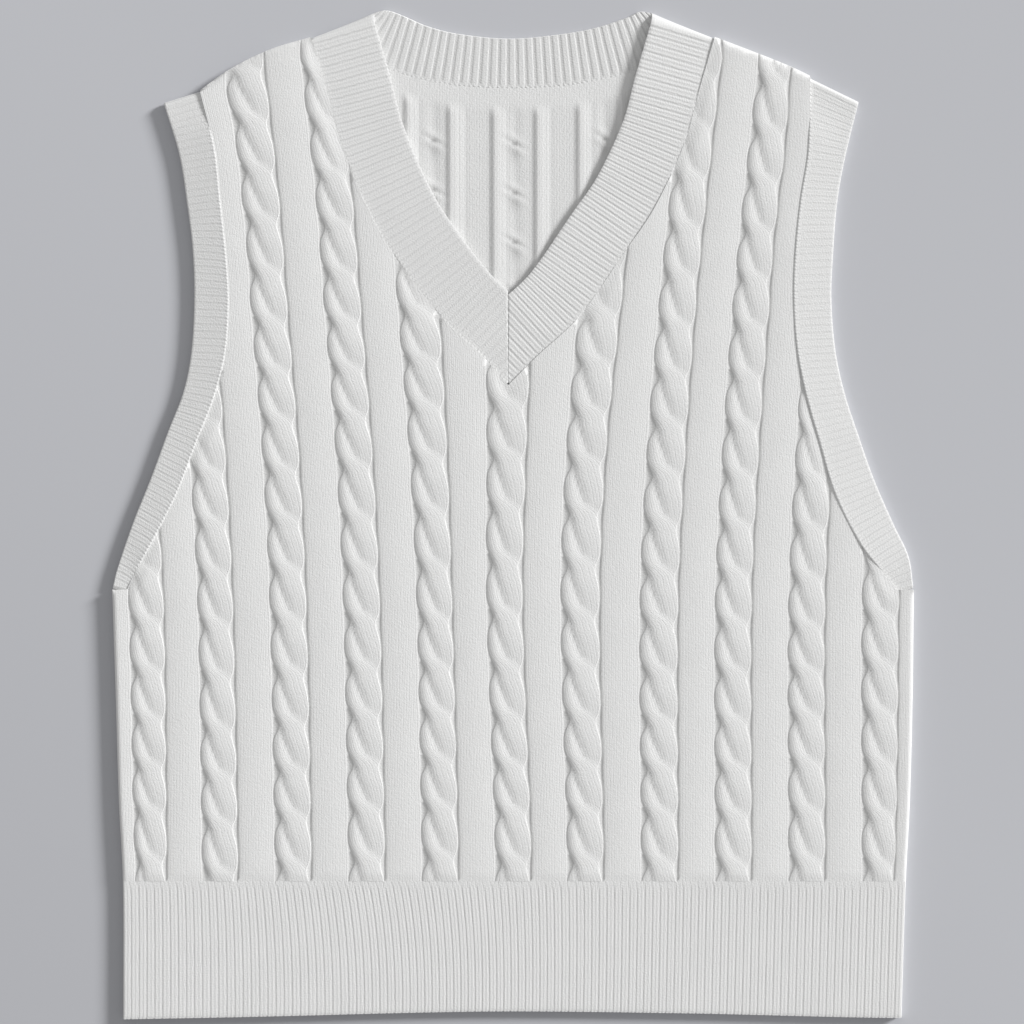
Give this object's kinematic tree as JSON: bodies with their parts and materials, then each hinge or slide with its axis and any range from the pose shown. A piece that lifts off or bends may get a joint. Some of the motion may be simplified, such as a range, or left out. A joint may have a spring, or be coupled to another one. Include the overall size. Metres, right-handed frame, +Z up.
{
  "type": "sweater vest",
  "caption": "Sleeveless V-neck knitted vest with rope cables, ribbed hem, neckband and armhole bands, laid flat.",
  "frame": {"origin": "middle of the vest's outline on the surface that it lies on", "axes": "+Z up out of the vest's front, +Y from the hem to the neck, +X to the right as the front is seen"},
  "size_m": [0.48, 0.6042, 0.0085],
  "materials": {
    "cable_knit": "matt off-white wool knit with rope cables",
    "rib_knit": "matt off-white wool knit in one-by-one rib"
  },
  "bodies": {
    "root": {"front_panel": "cable_knit", "back_panel": "cable_knit", "front_hem": "rib_knit", "back_hem": "rib_knit", "neckband": "rib_knit", "left_armband": "rib_knit", "right_armband": "rib_knit"}
  },
  "joints": []
}
